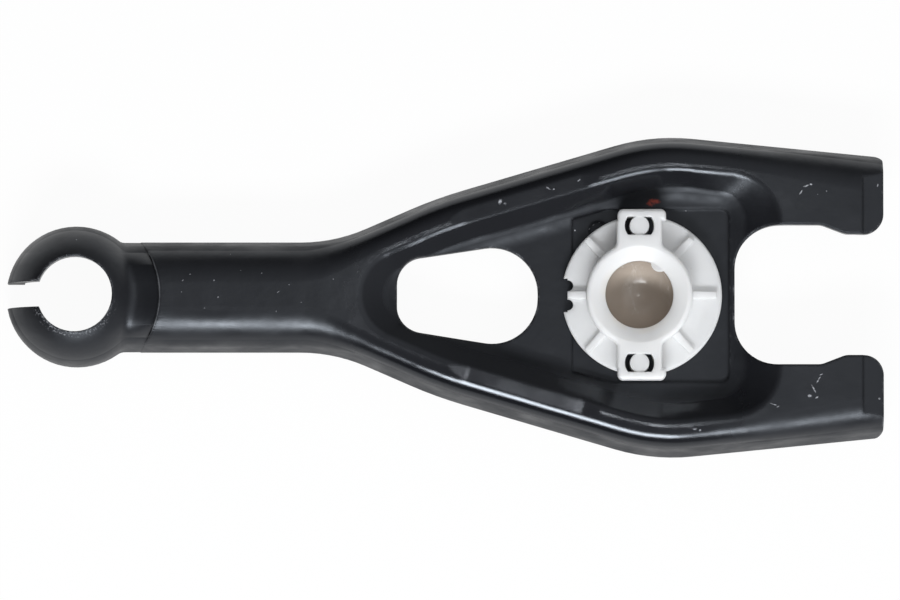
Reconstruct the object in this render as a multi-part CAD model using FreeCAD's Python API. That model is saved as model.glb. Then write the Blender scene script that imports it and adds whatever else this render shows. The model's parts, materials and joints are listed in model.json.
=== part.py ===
import FreeCAD, Part
import math
import os
from FreeCAD import Vector

# Clutch release fork, sizes in millimetres.
# The pivot axis is x = y = 0, the prongs point to +X, the cable eye to -X,
# and the ball socket opens to +Z. The free edge of the flange lies in one plane.

# Pressed steel body
sheet = 4.0
crest_height = 15.5
flange_draft = 9.0
shoulder_radius = 5.6
arm_shoulder_radius = 9.7
tip_shoulder_radius = 10.0

# Plan of the body, from the arm to the prong tips
arm_half_width = 13.8
flare_start_x = -75.9
flare_angle = 23.5
flare_blend = 41.0
shoulder_x = -50.5
shoulder_angle = 16.4
shoulder_blend = 113.0
widest_x = 3.6
prong_angle = 5.65
widest_blend = 51.0
tip_x = 60.7
tip_outer_round = 2.0
tip_inner_round = 5.0

# Sunken floor between the rails
floor_depth = 6.2
rail_width = 8.6
wall_slope = 40.0
floor_end_x = 22.4
floor_nose_round = 5.0
nose_crest_round = 11.0
floor_end_slope = 26.0
floor_corner_round = 5.0
floor_fillet = 5.0
rail_inner_round = 2.5

# Lightening hole
hole_left_x = -60.25
hole_right_x = -25.2
hole_left_half = 8.5
hole_right_half = 13.9
hole_left_round = 6.75
hole_right_round = 11.4

# Mouth between the prongs
mouth_x = 23.8
mouth_half = 17.35
mouth_round = 10.75
pad_half_gap = 15.05
pad_ramp_x = 45.2
pad_ramp_run = 6.0
pad_ramp_round = 4.5

# Coined flats along the rails, lowered collar round the eye, stepped tips
flat_depth = 0.3
flat_start_x = -42.8
flat_end_x = -14.0
flat_ramp = 6.0
collar_depth = 0.6
collar_radius = 21.0
tip_step_x = 55.5
tip_step = 0.9
tip_curve_radius = 14.0
locating_x = -10.2
locating_y = 16.4
locating_radius = 2.2
locating_depth = 1.0
contact_radius = 6.0
contact_drop = 1.6

# Cable eye
eye_x = -140.2
eye_radius = 17.5
eye_hole_radius = 9.35
eye_slot_width = 6.35
eye_skirt = 4.5
eye_blend = 3.0

# Seat pad and ball dimple
pad_centre_x = 2.9
pad_length = 39.1
pad_width = 43.2
pad_depth = 0.6
pad_corner = 2.0
ball_radius = 8.5
ball_play = 0.05
ball_rise = 3.6
dimple_wall = 3.2

# Ball seat shell
seat_wall = 1.0
seat_rim_drop = 1.2
fit_gap = 0.05

# Moulded retainer
disc_radius = 19.9
disc_shift = 0.7
disc_thickness = 2.2
disc_edge_round = 0.5
hub_radius = 13.2
hub_height = 7.2
hub_round = 0.9
neck_fillet = 2.0
mouth_radius = 8.45
mouth_land = 0.8
funnel_radius = 12.0
lobe_radius = 2.2
lobe_offset = 0.9
lobe_angle = 57.0
rib_lean = 47.0
rib_width = 2.2
rib_height = 1.1
rib_taper = 0.7
rib_reach = 19.2
tab_reach = 21.2
tab_width = 12.0
tab_corner = 1.4
tab_shift = 0.6
bridge_width = 11.2
bridge_reach = 18.4
window_radius = 3.65
window_width = 4.5
post_offset = 17.05
post_radius = 2.4
post_gap = 0.15
post_recess = 0.3
barb_radius = 3.1
barb_length = 2.4
notch_radius = 1.4
notch_spacing = 4.8
rim_flat_depth = 1.4
rim_flat_width = 8.4


def tangent(angle):
    return math.tan(math.radians(angle))


def rounded_outline(corners, z):
    """Closed wire through (x, y, radius) corners, each rounded by its radius."""
    points = [Vector(x, y, z) for x, y, radius in corners]
    starts = []
    middles = []
    ends = []
    for i, at in enumerate(points):
        radius = corners[i][2]
        back = (points[i - 1] - at).normalize()
        ahead = (points[(i + 1) % len(points)] - at).normalize()
        half_turn = (math.pi - back.getAngle(ahead)) / 2
        run = radius * math.tan(half_turn)
        lean = (back + ahead).normalize()
        starts.append(at + back * run)
        middles.append(at + lean * (radius / math.cos(half_turn) - radius))
        ends.append(at + ahead * run)
    edges = []
    for i in range(len(points)):
        following = (i + 1) % len(points)
        if corners[i][2] > 0:
            edges.append(Part.Arc(starts[i], middles[i], ends[i]).toShape())
        if ends[i].distanceToPoint(starts[following]) > 1e-6:
            edges.append(Part.makeLine(ends[i], starts[following]))
    return Part.Wire(edges)


def mirrored(upper):
    """Corner list made symmetric about the X axis."""
    return upper + [(x, -y, radius) for x, y, radius in reversed(upper)]


def prism(corners, low, high):
    return Part.Face(rounded_outline(corners, low)).extrude(Vector(0, 0, high - low))


def box(length, width, height, corner):
    return Part.makeBox(length, width, height, corner)


def edges_at(shape, z):
    """Edges that lie in the plane at height z."""
    found = []
    for edge in shape.Edges:
        bounds = edge.BoundBox
        if abs(bounds.ZMin - z) < 1e-5 and abs(bounds.ZMax - z) < 1e-5:
            found.append(edge)
    return found


# Straight runs of the upper edge in plan: a point on each and its slope
shoulder_y = arm_half_width + tangent(flare_angle) * (shoulder_x - flare_start_x)
widest_y = shoulder_y + tangent(shoulder_angle) * (widest_x - shoulder_x)
runs = [
    (flare_start_x, arm_half_width, 0.0),
    (flare_start_x, arm_half_width, flare_angle),
    (shoulder_x, shoulder_y, shoulder_angle),
    (widest_x, widest_y, -prong_angle),
]


def inset_run(run, inset):
    x, y, angle = run
    return x, y - inset / math.cos(math.radians(angle)), tangent(angle)


def crossing(first, second, inset):
    """Where two straight runs meet once both are moved inwards."""
    x1, y1, slope1 = inset_run(first, inset)
    x2, y2, slope2 = inset_run(second, inset)
    x = (y2 - y1 + slope1 * x1 - slope2 * x2) / (slope1 - slope2)
    return x, y1 + slope1 * (x - x1)


def height_on(run, x, inset):
    x0, y0, slope = inset_run(run, inset)
    return y0 + slope * (x - x0)


overrun = 12.0


def body_corners(inset):
    flare = crossing(runs[0], runs[1], inset)
    bend = crossing(runs[1], runs[2], inset)
    widest = crossing(runs[2], runs[3], inset)
    right = tip_x + overrun
    return mirrored([
        (eye_x, arm_half_width - inset, 0),
        (flare[0], flare[1], flare_blend + inset),
        (bend[0], bend[1], shoulder_blend - inset),
        (widest[0], widest[1], widest_blend - inset),
        (right, height_on(runs[3], right, inset), 0),
    ])


def floor_corners(inset, end_x, nose_round, corner_round):
    nose_x = runs[1][0] - inset_run(runs[1], inset)[1] / tangent(flare_angle)
    bend = crossing(runs[1], runs[2], inset)
    widest = crossing(runs[2], runs[3], inset)
    upper = [
        (bend[0], bend[1], shoulder_blend - inset),
        (widest[0], widest[1], widest_blend - inset),
        (end_x, height_on(runs[3], end_x, inset), corner_round),
    ]
    return [(nose_x, 0, nose_round)] + mirrored(upper)


def dome(depth):
    """Hemisphere of the cable eye on its short straight skirt."""
    radius = eye_radius - depth
    low = -depth * 2
    centre = Vector(eye_x, 0, eye_skirt)
    skirt = Part.makeCylinder(radius, eye_skirt - low, Vector(eye_x, 0, low))
    return skirt.fuse(Part.makeSphere(radius, centre, Vector(0, 0, 1), 0, 90)).removeSplitter()


def shoulder(solid, top, depth):
    """Round the long upper edges: wide on the arm and the tips, tighter along the rails."""
    chosen = []
    for number, edge in enumerate(solid.Edges, 1):
        bounds = edge.BoundBox
        level = abs(bounds.ZMin - top) < 1e-5 and abs(bounds.ZMax - top) < 1e-5
        across = bounds.XLength < 1e-5
        if not level or across:
            continue
        radii = []
        for corner in edge.Vertexes:
            radius = shoulder_radius
            if corner.Point.x < flare_start_x:
                radius = arm_shoulder_radius
            if corner.Point.x > tip_x:
                radius = tip_shoulder_radius
            radii.append(radius - depth)
        chosen.append((number, radii[0], radii[-1]))
    document = FreeCAD.newDocument("shoulder")
    blank = document.addObject("Part::Feature", "blank")
    blank.Shape = solid
    rounded = document.addObject("Part::Fillet", "rounded")
    rounded.Base = blank
    rounded.Edges = chosen
    document.recompute()
    result = rounded.Shape.copy()
    FreeCAD.closeDocument(document.Name)
    return result


def blank(depth):
    """Drafted body with rounded shoulders, before the floor is sunk."""
    low = -depth * 2
    top = crest_height - depth
    side = depth / math.cos(math.radians(flange_draft))
    foot = rounded_outline(body_corners(side + low * tangent(flange_draft)), low)
    head = rounded_outline(body_corners(side + top * tangent(flange_draft)), top)
    return shoulder(Part.makeLoft([foot, head], True, True), top, depth)


def rim_of(solid, pocket, top):
    """Edges at the crest where the floor was sunk into the solid."""
    rim = []
    for edge in edges_at(solid, top):
        first, last = edge.ParameterRange
        middle = Part.Vertex(edge.valueAt((first + last) / 2))
        if middle.distToShape(pocket)[0] < 1e-4:
            rim.append(edge)
    return rim


def hump(depth):
    """Convex outside of the pressing, or its inside when depth is the sheet."""
    top = crest_height - depth
    floor_z = top - floor_depth
    rise = 1.3 * floor_depth
    run = rise / tangent(wall_slope)
    end_run = rise / tangent(floor_end_slope)
    nose_growth = 1.3 * (nose_crest_round - floor_nose_round)
    grow = depth * tangent(wall_slope / 2)
    end_grow = depth * tangent(floor_end_slope / 2)
    foot_inset = rail_width + floor_depth / tangent(wall_slope) - grow
    end_x = floor_end_x + end_grow
    nose = floor_nose_round + grow
    corner = floor_corner_round + grow
    low_wire = rounded_outline(floor_corners(foot_inset, end_x, nose, corner), floor_z)
    high_corners = floor_corners(foot_inset - run, end_x + end_run, nose + nose_growth, corner + run)
    high_wire = rounded_outline(high_corners, floor_z + rise)
    pocket = Part.makeLoft([low_wire, high_wire], True, True)
    pocket = pocket.makeFillet(floor_fillet + depth, edges_at(pocket, floor_z))
    solid = blank(depth).cut(pocket)
    if depth == 0:
        solid = solid.makeFillet(rail_inner_round, rim_of(solid, pocket, top))
    return solid


def eye_joint(shape):
    """Edges where the arm runs into the round outside of the cable eye."""
    centre = Vector(eye_x, 0, eye_skirt)
    found = []
    for edge in shape.Edges:
        first, last = edge.ParameterRange
        at = edge.valueAt((first + last) / 2)
        reach = (at - centre).Length
        if at.z < eye_skirt:
            reach = math.hypot(at.x - eye_x, at.y)
        on_eye = abs(reach - eye_radius) < 0.01
        if on_eye and at.x > eye_x + eye_radius / 2 and edge.BoundBox.ZMax > 0.01:
            found.append(edge)
    return found


def tip_corner(side, low, high):
    """Sliver removed to round the outer corner of a prong tip."""
    radius = tip_outer_round
    x = tip_x - radius
    y = height_on(runs[3], x, radius)
    lean = math.radians(prong_angle)
    beyond = radius + sheet
    sliver = prism([
        (x, y, 0),
        (x + beyond * math.sin(lean), y + beyond * math.cos(lean), 0),
        (tip_x + sheet, y + beyond, 0),
        (tip_x + sheet, y, 0),
    ], low, high)
    sliver = sliver.cut(Part.makeCylinder(radius, high - low, Vector(x, y, low)))
    if side < 0:
        sliver = sliver.mirror(Vector(0, 0, 0), Vector(0, 1, 0))
    return sliver


def eye_collar():
    """What is pressed down by the collar depth round the cable eye."""
    lowered = blank(0)
    lowered.translate(Vector(0, 0, -collar_depth))
    reach = Part.makeCylinder(collar_radius, crest_height + 1, Vector(eye_x, 0, 0))
    return reach.cut(lowered)


def rail_flat(side):
    """Slab that coins the crest of one rail flat, with a ramp at each end."""
    low = crest_height - flat_depth
    middle_y = height_on(runs[2], flat_start_x, rail_width - rail_inner_round / 2)
    length = (flat_end_x - flat_start_x) / math.cos(math.radians(shoulder_angle))
    profile = [
        Vector(0, 0, low),
        Vector(length, 0, low),
        Vector(length + flat_ramp, 0, crest_height + 0.1),
        Vector(-flat_ramp, 0, crest_height + 0.1),
    ]
    face = Part.Face(Part.makePolygon(profile + [profile[0]]))
    slab = face.extrude(Vector(0, rail_width, 0))
    slab.translate(Vector(0, -rail_width / 2, 0))
    slab.rotate(Vector(0, 0, 0), Vector(0, 0, 1), side * shoulder_angle)
    slab.translate(Vector(flat_start_x, side * middle_y, 0))
    return slab


def tip_relief():
    """Lower, gently curved top of the prong tips."""
    top = crest_height - tip_step
    width = 2 * widest_y
    block = box(overrun, width, 2 * tip_step + 2, Vector(tip_step_x, -width / 2, top - 2))
    curve = Part.makeCylinder(tip_curve_radius, width,
                              Vector(tip_step_x, -width / 2, top - tip_curve_radius), Vector(0, 1, 0))
    return block.cut(curve)


def mouth_cut(low, high):
    return prism(mirrored([
        (tip_x + overrun * 2, widest_y * 1.5, 0),
        (tip_x, widest_y * 1.5, 0),
        (tip_x, pad_half_gap, tip_inner_round),
        (pad_ramp_x + pad_ramp_run, pad_half_gap, pad_ramp_round),
        (pad_ramp_x, mouth_half, pad_ramp_round),
        (mouth_x, mouth_half, mouth_round),
    ]), low, high)


def lightening_hole(low, high):
    return prism(mirrored([
        (hole_left_x, hole_left_half, hole_left_round),
        (hole_right_x, hole_right_half, hole_right_round),
    ]), low, high)


floor_z = crest_height - floor_depth
ball_z = floor_z + ball_rise
cup_radius = ball_radius + ball_play
seat_back = cup_radius + seat_wall
dimple_radius = seat_back + fit_gap
through_low = -sheet
through_high = eye_skirt + eye_radius + sheet


def seat_pad():
    half_length = pad_length / 2
    half_width = pad_width / 2
    return prism(mirrored([
        (pad_centre_x - half_length, half_width, pad_corner),
        (pad_centre_x + half_length, half_width, pad_corner),
    ]), floor_z - pad_depth, floor_z + pad_depth)


def fork_body():
    outside = hump(0).cut(eye_collar())
    outside = outside.fuse(dome(0))
    outside = outside.makeFillet(eye_blend, eye_joint(outside))
    outside = outside.cut(rail_flat(1)).cut(rail_flat(-1)).cut(tip_relief()).cut(seat_pad())
    mark_at = Vector(locating_x, locating_y, floor_z - pad_depth - locating_depth)
    outside = outside.cut(Part.makeCylinder(locating_radius, floor_depth, mark_at))
    inside = hump(sheet).fuse(dome(sheet))
    web_low = crest_height - sheet
    contact = Part.makeCylinder(contact_radius, 2 * widest_y,
                                Vector(tip_step_x + sheet / 2, -widest_y, web_low - contact_drop + contact_radius),
                                Vector(0, 1, 0))
    inside = inside.cut(contact)
    ball_centre = Vector(0, 0, ball_z)
    inside = inside.cut(Part.makeSphere(dimple_radius + dimple_wall, ball_centre))
    body = outside.cut(inside)
    body = body.cut(Part.makeSphere(dimple_radius, ball_centre))
    for side in (-1, 1):
        post_at = Vector(0, side * post_offset, through_low)
        body = body.cut(Part.makeCylinder(post_radius + post_gap, through_high, post_at))
    body = body.cut(lightening_hole(through_low, through_high))
    body = body.cut(mouth_cut(through_low, through_high))
    eye_low = Vector(eye_x, 0, through_low)
    body = body.cut(Part.makeCylinder(eye_hole_radius, through_high - through_low, eye_low))
    slot = box(2 * eye_radius, eye_slot_width, through_high - through_low,
               Vector(eye_x - 2 * eye_radius, -eye_slot_width / 2, through_low))
    body = body.cut(slot)
    for side in (-1, 1):
        body = body.cut(tip_corner(side, through_low, through_high))
    return body


disc_low = floor_z + fit_gap
disc_top = disc_low + disc_thickness
hub_top = disc_low + hub_height
mouth_low = ball_z + math.sqrt(cup_radius ** 2 - mouth_radius ** 2)
mouth_high = mouth_low + mouth_land


def ball_seat():
    """Thin shell under the ball, cut level below its rim."""
    centre = Vector(0, 0, ball_z)
    shell = Part.makeSphere(seat_back, centre).cut(Part.makeSphere(cup_radius, centre))
    keep = Part.makeCylinder(seat_back + 1, 2 * seat_back, Vector(0, 0, ball_z - seat_rim_drop - 2 * seat_back))
    return shell.common(keep)


def rib(angle, length):
    """Low radial rib on the disc, narrowing towards the rim."""
    low = disc_low + disc_thickness / 2
    start = hub_radius - hub_round - 1
    half = rib_width / 2
    corners = [
        (start, half, 0),
        (length, half * rib_taper, 0),
        (length, -half * rib_taper, 0),
        (start, -half, 0),
    ]
    bar = prism(corners, low, disc_top + rib_height)
    bar.rotate(Vector(0, 0, 0), Vector(0, 0, 1), angle)
    return bar


def tab_plan(side):
    """Bridge from the hub and its wider end, seen from above."""
    half = tab_width / 2
    neck = bridge_width / 2
    solid = prism([
        (-neck, 0, 0),
        (-neck, bridge_reach, 0),
        (tab_shift - half, bridge_reach, 0),
        (tab_shift - half, tab_reach, tab_corner),
        (tab_shift + half, tab_reach, tab_corner),
        (tab_shift + half, bridge_reach, 0),
        (neck, bridge_reach, 0),
        (neck, 0, 0),
    ], disc_low, hub_top)
    if side < 0:
        solid = solid.mirror(Vector(0, 0, 0), Vector(0, 1, 0))
    return solid


def hub_and_tabs():
    """Hub with both tabs at one height, blended where they meet."""
    solid = Part.makeCylinder(hub_radius, hub_height, Vector(0, 0, disc_low))
    solid = solid.fuse(tab_plan(1)).fuse(tab_plan(-1)).removeSplitter()
    inner = []
    for edge in solid.Edges:
        bounds = edge.BoundBox
        upright = bounds.ZLength > hub_height - 0.01
        at = edge.Vertexes[0].Point
        if upright and abs(math.hypot(at.x, at.y) - hub_radius) < 0.01 and abs(at.y) > hub_radius / 2:
            inner.append(edge)
    solid = solid.makeFillet(neck_fillet, inner)
    return solid.makeFillet(hub_round, edges_at(solid, hub_top))


def post(side):
    """Snap post that goes down through the steel and ends in a barb."""
    at = side * post_offset
    barb_top = floor_z - sheet - fit_gap
    stem = Part.makeCylinder(post_radius, hub_top - post_recess - barb_top, Vector(0, at, barb_top))
    barb = Part.makeCone(post_radius - 0.5, barb_radius, barb_length, Vector(0, at, barb_top - barb_length))
    return stem.fuse(barb)


def window(side):
    """Round window with flat sides that leaves a gap on each side of its post."""
    at = side * post_offset
    low = disc_low - 1
    round_part = Part.makeCylinder(window_radius, 2 * hub_height, Vector(0, at, low))
    slab = box(2 * window_radius, window_width, 2 * hub_height, Vector(-window_radius, at - window_width / 2, low))
    return round_part.common(slab)


def pivot_retainer():
    disc = Part.makeCylinder(disc_radius, disc_thickness, Vector(disc_shift, 0, disc_low))
    disc = disc.makeFillet(disc_edge_round, edges_at(disc, disc_top))
    solid = disc.fuse(hub_and_tabs())
    for facing in (0, 180):
        for lean in (-rib_lean, 0, rib_lean):
            solid = solid.fuse(rib(facing + lean, rib_reach))
    rim_x = disc_shift - disc_radius + rim_flat_depth
    for side in (-1, 1):
        solid = solid.cut(window(side))
        notch_at = Vector(rim_x, side * notch_spacing / 2, disc_low - 1)
        solid = solid.cut(Part.makeCylinder(notch_radius, 2 * hub_height, notch_at))
    rim_flat = box(disc_radius, rim_flat_width, 2 * hub_height,
                   Vector(rim_x - disc_radius, -rim_flat_width / 2, disc_low - 1))
    solid = solid.cut(rim_flat)
    centre = Vector(0, 0, ball_z)
    room = Part.makeSphere(dimple_radius, centre)
    under = Part.makeCylinder(hub_radius, hub_height, Vector(0, 0, ball_z - seat_rim_drop + fit_gap - hub_height))
    solid = solid.cut(room.common(under))
    solid = solid.cut(Part.makeSphere(cup_radius, centre))
    bore = Part.makeCylinder(mouth_radius, hub_height, Vector(0, 0, ball_z))
    angle = math.radians(lobe_angle)
    lobe_reach = mouth_radius + lobe_offset
    lobe_at = Vector(lobe_reach * math.cos(angle), lobe_reach * math.sin(angle), mouth_low)
    lobe = Part.makeCylinder(lobe_radius, mouth_land, lobe_at)
    solid = solid.cut(bore).fuse(lobe)
    funnel = Part.makeCone(mouth_radius, funnel_radius, hub_top - mouth_high, Vector(0, 0, mouth_high))
    solid = solid.cut(funnel)
    for side in (-1, 1):
        solid = solid.fuse(post(side))
    return solid.removeSplitter()


# The origin is the middle of the straight mouth that the ball enters
mouth_middle = (mouth_low + mouth_high) / 2

os.makedirs("parts", exist_ok=True)
pieces = {
    "fork_body": fork_body(),
    "pivot_retainer": pivot_retainer(),
    "ball_seat": ball_seat(),
}
for name, solid in pieces.items():
    solid.translate(Vector(0, 0, -mouth_middle))
    solid.exportStep("parts/" + name + ".step")
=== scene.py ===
import json
import math

import bpy
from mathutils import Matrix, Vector


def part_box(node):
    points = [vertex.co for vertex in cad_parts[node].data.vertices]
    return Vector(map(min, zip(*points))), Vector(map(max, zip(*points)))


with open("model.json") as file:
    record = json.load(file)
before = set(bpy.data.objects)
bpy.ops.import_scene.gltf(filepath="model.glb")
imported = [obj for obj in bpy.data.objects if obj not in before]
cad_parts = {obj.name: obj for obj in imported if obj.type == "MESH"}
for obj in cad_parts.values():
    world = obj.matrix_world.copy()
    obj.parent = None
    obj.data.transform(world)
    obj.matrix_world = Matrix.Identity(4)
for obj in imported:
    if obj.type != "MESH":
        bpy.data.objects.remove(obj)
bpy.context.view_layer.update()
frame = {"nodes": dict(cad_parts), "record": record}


MM = 0.001
body = frame["nodes"]["fork_body"]
retainer = frame["nodes"]["pivot_retainer"]
seat = frame["nodes"]["ball_seat"]
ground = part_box("fork_body")[0].z
seat_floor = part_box("ball_seat")[0].z
mounts = {mount["name"]: mount for mount in frame["record"]["mounts"]}
eye = Vector(mounts["cable_eye"]["pos_m"])
eye_radius = mounts["cable_eye"]["dims"]["r_mm"] * MM

# Places that the paint follows. The origin is the mouth of the ball socket, +X points to the
# prongs, +Z up to the camera. A reach is a distance from the axis of the cable eye.
PAD_LEFT, PAD_RIGHT = -18 * MM, 22.5 * MM
WEB_TOP = -4.2 * MM  # upper edge of the wear round the pierced holes
POCKET_FLOOR = -3.8 * MM
TIP_FACE = 57 * MM
ARM_ROOT = -60 * MM
PRONG_ROOT = 14 * MM
EYE_DOME_REACH = 12 * MM
COLLAR_REACH = 21 * MM


# ---------------------------------------------------------------- node helpers

BEVEL_SAMPLES = 4


class Nodes:
    """Small helper that keeps the building of a node tree short."""

    def __init__(self, owner):
        owner.use_nodes = True
        self.owner = owner
        self.tree = owner.node_tree

    def node(self, kind, **settings):
        made = self.tree.nodes.new(kind)
        for key, value in settings.items():
            setattr(made, key, value)
        return made

    def link(self, source, target):
        self.tree.links.new(source, target)

    def put(self, target, value):
        if isinstance(value, bpy.types.NodeSocket):
            self.link(value, target)
        else:
            target.default_value = value

    def math(self, operation, *values, clamp=False):
        made = self.node("ShaderNodeMath", operation=operation, use_clamp=clamp)
        for socket, value in zip(made.inputs, values):
            self.put(socket, value)
        return made.outputs[0]

    def fold(self, operation, values):
        total = values[0]
        for value in values[1:]:
            total = self.math(operation, total, value)
        return total

    def product(self, *values):
        return self.fold("MULTIPLY", values)

    def most(self, *values):
        return self.fold("MAXIMUM", values)

    def vector(self, operation, *values):
        made = self.node("ShaderNodeVectorMath", operation=operation)
        for socket, value in zip(made.inputs, values):
            self.put(socket, value)
        return made.outputs["Value" if operation in ("LENGTH", "DOT_PRODUCT") else "Vector"]

    def split(self, vector):
        made = self.node("ShaderNodeSeparateXYZ")
        self.link(vector, made.inputs[0])
        return made.outputs["X"], made.outputs["Y"], made.outputs["Z"]

    def span(self, value, low, high, to_low=0.0, to_high=1.0, curve="LINEAR"):
        """Map low..high to to_low..to_high and hold the ends."""
        made = self.node("ShaderNodeMapRange", interpolation_type=curve)
        self.put(made.inputs["Value"], value)
        made.inputs["From Min"].default_value = low
        made.inputs["From Max"].default_value = high
        made.inputs["To Min"].default_value = to_low
        made.inputs["To Max"].default_value = to_high
        return made.outputs["Result"]


class Surface(Nodes):
    """Nodes of a new material, with its shader and the object's own coordinates."""

    def __init__(self, name):
        super().__init__(bpy.data.materials.new(name))
        self.shader = self.tree.nodes["Principled BSDF"]
        self.coords = self.node("ShaderNodeTexCoord").outputs["Object"]

    def noise_node(self, scale, detail, rough=0.5, vector=None, distortion=0.0):
        made = self.node("ShaderNodeTexNoise")
        made.inputs["Scale"].default_value = scale
        made.inputs["Detail"].default_value = detail
        made.inputs["Roughness"].default_value = rough
        made.inputs["Distortion"].default_value = distortion
        self.link(vector or self.coords, made.inputs["Vector"])
        return made

    def noise(self, scale, detail=3.0, rough=0.5, vector=None, distortion=0.0):
        return self.noise_node(scale, detail, rough, vector, distortion).outputs["Fac"]

    def wobble(self, scale, amount):
        """Object position pushed about by noise, so that marks get ragged edges."""
        colour = self.noise_node(scale, 3.0).outputs["Color"]
        centred = self.vector("SUBTRACT", colour, (0.5, 0.5, 0.5))
        pushed = self.vector("MULTIPLY", centred, (amount, amount, amount))
        return self.vector("ADD", self.coords, pushed)

    def mix(self, factor, first, second):
        made = self.node("ShaderNodeMix", data_type="RGBA")
        self.put(made.inputs["Factor"], factor)
        self.put(made.inputs["A"], first)
        self.put(made.inputs["B"], second)
        return made.outputs["Result"]

    def bump(self, height, strength, distance, normal=None):
        made = self.node("ShaderNodeBump")
        made.inputs["Strength"].default_value = strength
        made.inputs["Distance"].default_value = distance
        self.link(height, made.inputs["Height"])
        if normal is not None:
            self.link(normal, made.inputs["Normal"])
        return made.outputs["Normal"]

    def soft_edges(self, radius):
        """Normal with rounded edges, on which most of the render time goes."""
        made = self.node("ShaderNodeBevel", samples=BEVEL_SAMPLES)
        made.inputs["Radius"].default_value = radius
        return made.outputs["Normal"]

    def reach_from(self, x, y):
        """Distance from an upright axis."""
        flat = self.vector("MULTIPLY", self.coords, (1, 1, 0))
        return self.vector("LENGTH", self.vector("SUBTRACT", flat, (x, y, 0)))

    def dab(self, where, place, angle, edge):
        """Oval mask seen from above: place is x, y, half length and half width in mm.

        It is turned by angle degrees, and full within the share edge of its size.
        """
        x, y, long, wide = (v * MM for v in place)
        flat = self.vector("MULTIPLY", where, (1, 1, 0))
        away = self.vector("SUBTRACT", flat, (x, y, 0))
        turn = self.node("ShaderNodeVectorRotate", rotation_type="Z_AXIS")
        self.link(away, turn.inputs["Vector"])
        turn.inputs["Angle"].default_value = -math.radians(angle)
        scaled = self.vector("MULTIPLY", turn.outputs["Vector"], (1 / long, 1 / wide, 0))
        return self.span(self.vector("LENGTH", scaled), 1.0, edge)

    def dabs(self, where, marks, edge):
        """Mask of a whole list of marks, each with its angle as the last value."""
        return self.most(*[self.dab(where, mark[:4], mark[4], edge) for mark in marks])


# ---------------------------------------------------------------- materials

# Marks on the paint, seen from above: x, y, half length, half width in mm, turn in degrees
SPECKS = [
    (-111.6, 5.0, 0.22, 0.18, 0), (-113.4, 3.5, 0.3, 0.14, 30), (-105.6, 3.5, 0.26, 0.22, 0),
    (-104.6, -0.7, 0.24, 0.22, 0), (-113.7, 0.6, 0.2, 0.13, 60), (-93.8, 5.3, 0.2, 0.16, 0),
    (-87.0, 2.4, 0.2, 0.14, 20), (-76.0, 3.8, 0.2, 0.16, 0), (-89.7, 0.6, 0.5, 0.1, 35),
    (-90.2, -4.2, 0.16, 0.16, 0), (-101.6, 10.1, 0.16, 0.14, 0), (-139.8, 13.6, 0.2, 0.16, 0),
    (-99.0, 6.0, 0.12, 0.1, 0), (-84.0, -2.0, 0.12, 0.12, 0), (-108.0, -3.4, 0.14, 0.1, 0),
    (-70.0, 5.6, 0.14, 0.1, 0), (11.7, 21.2, 0.22, 0.16, 0), (46.5, 25.7, 0.25, 0.12, 80),
    (44.3, 24.9, 0.12, 0.1, 0),
]
CHIPS_AND_GLINTS = [
    # upper rail
    (-34.6, 23.1, 0.5, 0.75, -20), (-33.4, 22.6, 0.4, 0.3, 0), (-22.6, 26.4, 0.9, 0.16, -35),
    (-21.3, 26.2, 0.3, 0.22, 0), (-15.0, 28.4, 0.5, 0.2, 40),
    # upper prong
    (40.1, 25.4, 0.9, 0.22, 55), (41.4, 27.0, 0.85, 0.24, 20), (42.6, 27.4, 0.35, 0.28, 0),
    # lower prong
    (44.4, -21.2, 1.1, 0.18, 60), (43.2, -23.4, 1.3, 0.2, -62), (42.2, -25.2, 0.6, 0.42, 0),
    (44.0, -25.6, 0.5, 0.24, 30), (45.1, -19.9, 0.5, 0.16, 20),
    (33.2, -27.3, 1.1, 0.14, -18), (34.3, -27.9, 0.4, 0.16, 20),
    # lower rail
    (13.6, -33.4, 0.7, 0.3, 0), (15.0, -33.7, 0.35, 0.2, 0),
    # tips: painted highlights, glints on their corners, in the colour of bare metal
    (59.3, 27.2, 0.5, 0.2, 70), (59.6, -25.8, 0.3, 0.35, 0),
    # beside the locating mark: painted highlights, glints on its rim and on the corner of the pad,
    # in the colour of bare metal
    (-12.3, 16.7, 0.35, 0.13, 60), (-11.2, 17.8, 0.45, 0.13, 40), (-9.9, 18.3, 0.35, 0.12, 10),
    (-15.9, 16.3, 0.22, 0.2, 0),
]
RED_DAB = (3.6, 23.2, 2.0, 0.95)
MOON_OUTER, MOON_INNER = (-83.3, -2.4, 2.6, 1.7), (-83.6, -1.5, 2.6, 1.5)
HOOK = (41.2, 26.2, 1.7, 1.0)

PAINT_DARK, PAINT_LIGHT = (0.0036, 0.0037, 0.005, 1), (0.0056, 0.0057, 0.0076, 1)
# Colour of bare metal where the paint is worn or chipped; it also paints highlights: the collar's
# lit line and glints at the tips and beside the locating mark
STEEL_AND_GLINT = (0.42, 0.43, 0.46, 1)
RED = (0.3, 0.04, 0.02, 1)
PAINT_ROUGHNESS = (0.11, 0.17)
STEEL_ROUGHNESS = 0.4
ARM_HAZE, PRONG_HAZE, POCKET_HAZE = 0.24, 0.25, 0.42
SPECK_SHARE, WEAR_SHARE = 0.55, 0.6


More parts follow.
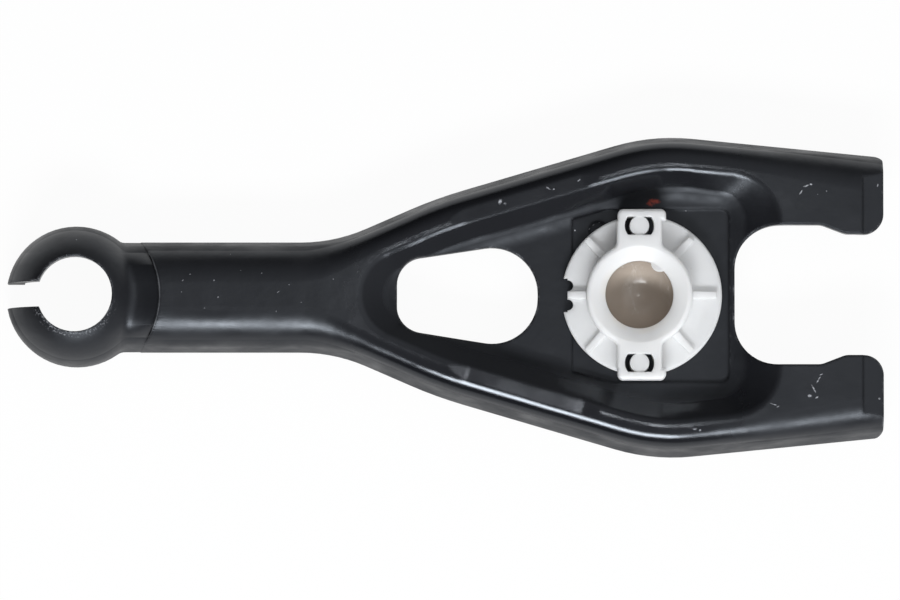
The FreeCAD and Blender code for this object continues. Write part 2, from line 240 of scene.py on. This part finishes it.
class ForkPaint(Surface):
    """The black dip paint's masks: 1 where a mark is, 0 elsewhere."""

    def __init__(self):
        super().__init__("black_dip_paint")
        self.x, self.y, self.z = self.split(self.coords)
        self.off_middle = self.math("ABSOLUTE", self.y)
        self.reach = self.reach_from(eye.x, eye.y)
        self.surface = self.node("ShaderNodeNewGeometry").outputs["Normal"]
        self.soft = self.soft_edges(1.1 * MM)
        self.ragged = self.wobble(2500.0, 0.35 * MM)
        # The photo shows the marks from above only, so the underside has none
        self.top = self.span(self.split(self.surface)[2], 0.02, 0.2)

    def specks(self):
        return self.product(self.dabs(self.ragged, SPECKS, 0.4), SPECK_SHARE, self.top)

    # Chipped paint, and painted highlights at the tips and beside the locating mark
    def chips_and_glints(self):
        broken = self.span(self.noise(1500.0, 4.0, 0.7), 0.38, 0.55)
        return self.product(self.dabs(self.ragged, CHIPS_AND_GLINTS, 0.5), broken, self.top)

    def worn_edges(self):
        """Bare steel along the pierced edges beside the pad, at the tips and round the eye."""
        edge = self.span(self.vector("DOT_PRODUCT", self.soft, self.surface), 0.93, 0.8)
        beside_pad = self.most(self.span(self.x, PAD_LEFT, PAD_LEFT - 1 * MM),
                               self.span(self.x, PAD_RIGHT, PAD_RIGHT + 0.3 * MM))
        pierced = self.product(beside_pad, self.span(self.z, WEB_TOP, WEB_TOP - 0.5 * MM))
        ends = self.most(self.span(self.x, TIP_FACE, TIP_FACE + 0.6 * MM),
                         self.span(self.reach, EYE_DOME_REACH, EYE_DOME_REACH - 1 * MM))
        patchy = self.span(self.noise(420.0, 5.0, 0.75), 0.5, 0.6)
        return self.product(edge, self.most(pierced, ends), patchy, WEAR_SHARE)

    def speckled_eye(self):
        """Speckles of steel round the lower half of the eye."""
        band = self.product(self.span(self.reach, eye_radius + 1.9 * MM, eye_radius + 0.5 * MM),
                            self.span(self.y, -1 * MM, -5 * MM))
        speckles = self.span(self.noise(1900.0, 3.0, 0.7), 0.56, 0.63)
        return self.product(band, speckles, self.top, WEAR_SHARE)

    def collar_highlight(self):
        """Painted highlight: a lit line round the collar, where the coining of the arm begins,
        painted in the colour of bare metal.
        """
        return self.product(
            self.span(self.reach, COLLAR_REACH - 0.35 * MM, COLLAR_REACH - 0.05 * MM),
            self.span(self.reach, COLLAR_REACH + 0.35 * MM, COLLAR_REACH + 0.05 * MM),
            self.span(self.off_middle, 9.2 * MM, 7.6 * MM), self.top,
            self.span(self.noise(300.0, 3.0), 0.3, 0.6, 0.1, 0.3))

    def red_dab(self):
        blurred = self.dab(self.wobble(900.0, 1.2 * MM), RED_DAB, 10, 0.5)
        return self.product(blurred, self.top, self.span(self.noise(700.0, 3.0), 0.42, 0.6))

    def haze(self):
        """Roughness added on the arm, the prongs and the floor of the pocket."""
        haze = self.most(self.span(self.x, ARM_ROOT, ARM_ROOT - 18 * MM, 0.0, ARM_HAZE),
                         self.span(self.x, PRONG_ROOT, PRONG_ROOT + 20 * MM, 0.0, PRONG_HAZE),
                         self.span(self.z, POCKET_FLOOR + 1.2 * MM, POCKET_FLOOR, 0.0, POCKET_HAZE))
        return self.product(haze, self.span(self.noise(75.0, 3.0, 0.6), 0.3, 0.7, 0.65, 1.3))

    def dents(self):
        """Half-moon dent on the arm and hook-shaped dent on the upper prong."""
        fine = self.wobble(600.0, 0.5 * MM)
        moon = self.math("SUBTRACT", self.dab(fine, MOON_OUTER, 25, 0.6),
                         self.dab(fine, MOON_INNER, 25, 0.6), clamp=True)
        hook = self.dab(fine, HOOK, 50, 0.5)
        both = self.math("ADD", self.product(moon, 3.0), self.product(hook, 0.7))
        return self.product(both, self.top)

    def collar_slope(self):
        """Rise of the paint from the eye to the collar."""
        slope = self.span(self.reach, EYE_DOME_REACH, COLLAR_REACH - 0.3 * MM)
        return self.product(self.math("POWER", slope, 1.7), self.top,
                            self.span(self.reach, COLLAR_REACH + 0.2 * MM, COLLAR_REACH - 0.3 * MM),
                            self.span(self.off_middle, 10.5 * MM, 7.5 * MM))

    def tool_teeth(self):
        """Marks that the press tool left on the arm, just beyond the collar."""
        drawn_out = self.vector("MULTIPLY", self.coords, (0.35, 1.6, 1.0))
        return self.product(
            self.noise(900.0, 3.0, 0.6, drawn_out),
            self.span(self.reach, COLLAR_REACH + 0.2 * MM, COLLAR_REACH + 3.5 * MM, 1.0, 0.0),
            self.span(self.reach, COLLAR_REACH - 0.1 * MM, COLLAR_REACH + 0.2 * MM))


def black_paint():
    m = ForkPaint()
    specks, chips_and_glints = m.specks(), m.chips_and_glints()
    # Mask of bare metal (chipped and worn paint, specks) and of painted highlights (the collar's
    # lit line, glints at the tips and beside the locating mark)
    steel_and_glints = m.most(chips_and_glints, m.worn_edges(), m.speckled_eye(), specks, m.collar_highlight())
    base = m.mix(m.noise(35.0, 2.0), PAINT_DARK, PAINT_LIGHT)
    base = m.mix(steel_and_glints, base, STEEL_AND_GLINT)
    base = m.mix(m.red_dab(), base, RED)
    m.link(base, m.shader.inputs["Base Color"])

    haze = m.haze()
    rough = m.math("ADD", m.span(m.noise(160.0, 4.0, 0.6), 0.3, 0.75, *PAINT_ROUGHNESS), haze)
    m.link(m.most(rough, m.product(steel_and_glints, STEEL_ROUGHNESS)), m.shader.inputs["Roughness"])
    m.shader.inputs["IOR"].default_value = 1.5
    m.shader.inputs["Specular Tint"].default_value = (0.86, 0.92, 1.0, 1)

    relief = [  # height, strength, depth in mm
        (m.noise(55.0, 2.0), 0.35, 0.5),  # waves of the sheet
        (m.noise(260.0, 2.0), 0.2, 0.06),  # runs of the dip
        (m.product(m.noise(120.0, 3.0, 0.6), haze), 0.8, 0.6),  # orange peel where it is dull
        (m.noise(1300.0, 2.0), 0.12, 0.02),  # grain
        (m.dents(), -0.9, 0.5),
        (m.collar_slope(), 1.0, 1.5),
        (m.tool_teeth(), 0.5, 0.2),
        (m.most(chips_and_glints, specks), 0.5, 0.1),
    ]
    normal = m.soft
    for height, strength, depth in relief:
        normal = m.bump(height, strength, depth * MM, normal)
    m.link(normal, m.shader.inputs["Normal"])
    return m.owner


def white_plastic():
    m = Surface("white_polyamide")
    x, y, _ = m.split(m.coords)
    base = m.mix(m.noise(90.0, 3.0), (0.79, 0.79, 0.785, 1), (0.83, 0.83, 0.825, 1))
    # Grease that has crept out of the socket tints the lower left of the mouth
    ring = m.product(m.span(m.reach_from(0, 0), 10.2 * MM, 8.6 * MM),
                     m.span(m.noise(160.0, 3.0), 0.35, 0.65))
    lower_left = m.span(m.math("ADD", x, y), 2 * MM, -8 * MM)
    base = m.mix(m.product(ring, lower_left, 0.55), base, (0.78, 0.66, 0.5, 1))
    dirt = m.span(m.noise(420.0, 5.0, 0.7), 0.66, 0.74)
    base = m.mix(m.product(dirt, 0.25), base, (0.45, 0.42, 0.38, 1))
    m.link(base, m.shader.inputs["Base Color"])
    m.link(m.span(m.noise(300.0, 3.0), 0.3, 0.7, 0.42, 0.55), m.shader.inputs["Roughness"])
    m.shader.inputs["Subsurface Weight"].default_value = 0.8
    m.shader.inputs["Subsurface Scale"].default_value = 6 * MM
    m.shader.inputs["Subsurface Radius"].default_value = (1.0, 0.97, 0.93)
    normal = m.bump(m.noise(500.0, 3.0), 0.15, 0.05 * MM, m.soft_edges(0.45 * MM))
    m.link(normal, m.shader.inputs["Normal"])
    return m.owner


def greased_seat():
    m = Surface("greased_seat")
    base = m.mix(m.noise(120.0, 3.0, 0.6), (0.36, 0.3, 0.25, 1), (0.43, 0.375, 0.32, 1))
    wiped = m.vector("MULTIPLY", m.coords, (1.0, 0.35, 0.6))
    smear = m.noise(260.0, 4.0, 0.65, wiped, 0.6)
    base = m.mix(m.span(smear, 0.55, 0.75, 0.0, 0.5), base, (0.52, 0.48, 0.44, 1))
    m.link(base, m.shader.inputs["Base Color"])
    m.link(m.span(smear, 0.3, 0.7, 0.1, 0.3), m.shader.inputs["Roughness"])
    m.link(m.bump(smear, 0.35, 0.12 * MM), m.shader.inputs["Normal"])
    return m.owner


def dress(piece, material):
    for slot in piece.material_slots:
        slot.material = material
    if not piece.material_slots:
        piece.data.materials.append(material)


dress(body, black_paint())
dress(retainer, white_plastic())
dress(seat, greased_seat())


# ---------------------------------------------------------------- floor and world

FLOOR_GLOW = 0.95


def white_floor():
    """White to camera, glossy and transmission rays; a small diffuse share keeps the shadow."""
    m = Surface("white_floor")
    m.shader.inputs["Base Color"].default_value = (0.9, 0.9, 0.9, 1)
    m.shader.inputs["Roughness"].default_value = 0.9
    rays = m.node("ShaderNodeLightPath").outputs
    seen = m.most(rays["Is Camera Ray"], rays["Is Glossy Ray"], rays["Is Transmission Ray"])
    glow = m.node("ShaderNodeEmission")
    glow.inputs["Strength"].default_value = 1.0
    blend = m.node("ShaderNodeMixShader")
    m.link(m.product(seen, FLOOR_GLOW), blend.inputs[0])
    m.link(m.shader.outputs[0], blend.inputs[1])
    m.link(glow.outputs[0], blend.inputs[2])
    m.link(blend.outputs[0], m.tree.nodes["Material Output"].inputs["Surface"])
    return m.owner


def studio_world():
    """Dim room: brightest overhead, on the near side and beyond the prongs."""
    world = Nodes(bpy.data.worlds.new("studio"))
    # Incoming points from the room to the object, so its signs are turned round
    to_arm, to_near_side, to_below = world.split(
        world.node("ShaderNodeNewGeometry").outputs["Incoming"])
    height = world.product(to_below, -1.0)
    room = world.product(world.span(height, 0.3, 0.95, 0.18, 0.5, "SMOOTHSTEP"),
                         world.span(to_near_side, -0.7, 0.7, 0.95, 1.2, "SMOOTHSTEP"),
                         world.span(to_arm, -0.7, 0.5, 2.0, 0.4, "SMOOTHSTEP"))
    background = world.tree.nodes["Background"]
    world.link(room, background.inputs["Strength"])
    background.inputs["Color"].default_value = (0.97, 0.98, 1.0, 1)
    return world.owner


bpy.ops.mesh.primitive_plane_add(size=6.0, location=(0, 0, ground))
floor = bpy.context.object
floor.name = "floor"
floor.data.materials.append(white_floor())
bpy.context.scene.world = studio_world()


# ---------------------------------------------------------------- lamps and camera

COOL_WHITE = (0.96, 0.98, 1.0)
LAMP_TILT = math.radians(52)
LAMP_DISTANCE = 1.2
CAMERA_TILT = math.radians(3)
CAMERA_DISTANCE = 2.2
VIEW_WIDTH = 225 * MM
VIEW_CENTRE = Vector((-47.04 * MM, -0.6 * MM, ground))
SENSOR = 36.0  # mm, as Blender's cameras count it


def put_in_scene(name, data, place, away):
    """Object at a place, with its back to `away`, as lamps and cameras look along their -Z."""
    holder = bpy.data.objects.new(name, data)
    bpy.context.scene.collection.objects.link(holder)
    holder.location = place
    holder.rotation_euler = away.to_track_quat("Z", "Y").to_euler()
    return holder


def softbox(name, place, target, width, height, watts, color=(1, 1, 1)):
    """Area lamp at a place, aimed at a target."""
    lamp = bpy.data.lights.new(name, "AREA")
    lamp.shape = "RECTANGLE"
    lamp.size = width
    lamp.size_y = height
    lamp.energy = watts
    lamp.color = color
    put_in_scene(name, lamp, place, place - Vector(target))


def lamp_place(x):
    """Point over the near side, LAMP_TILT down from straight above."""
    return Vector((x, -math.sin(LAMP_TILT) * LAMP_DISTANCE,
                   ground + math.cos(LAMP_TILT) * LAMP_DISTANCE))


softbox("key_box", lamp_place(-0.17), (-0.1, 0, ground), 0.52, 0.22, 11.0, COOL_WHITE)
softbox("end_box", lamp_place(0.27), (0, 0, ground), 0.2, 0.22, 3.0, COOL_WHITE)

camera_away = Vector((0, -math.sin(CAMERA_TILT), math.cos(CAMERA_TILT)))
camera_data = bpy.data.cameras.new("camera")
camera_data.sensor_width = SENSOR
camera_data.lens = SENSOR * CAMERA_DISTANCE / VIEW_WIDTH
camera_data.clip_end = 20.0
camera = put_in_scene("camera", camera_data, VIEW_CENTRE + camera_away * CAMERA_DISTANCE,
                      camera_away)
bpy.context.scene.camera = camera

# Small lamp half-way up to the camera, whose image falls into the socket
spark_place = Vector((-camera.location.x * 0.5, -(camera.location.y + 0.2) * 0.5,
                      seat_floor + CAMERA_DISTANCE * 0.5))
softbox("spark", spark_place, (0, 0, seat_floor), 0.05, 0.05, 0.35)

bpy.context.scene.view_settings.view_transform = "Standard"
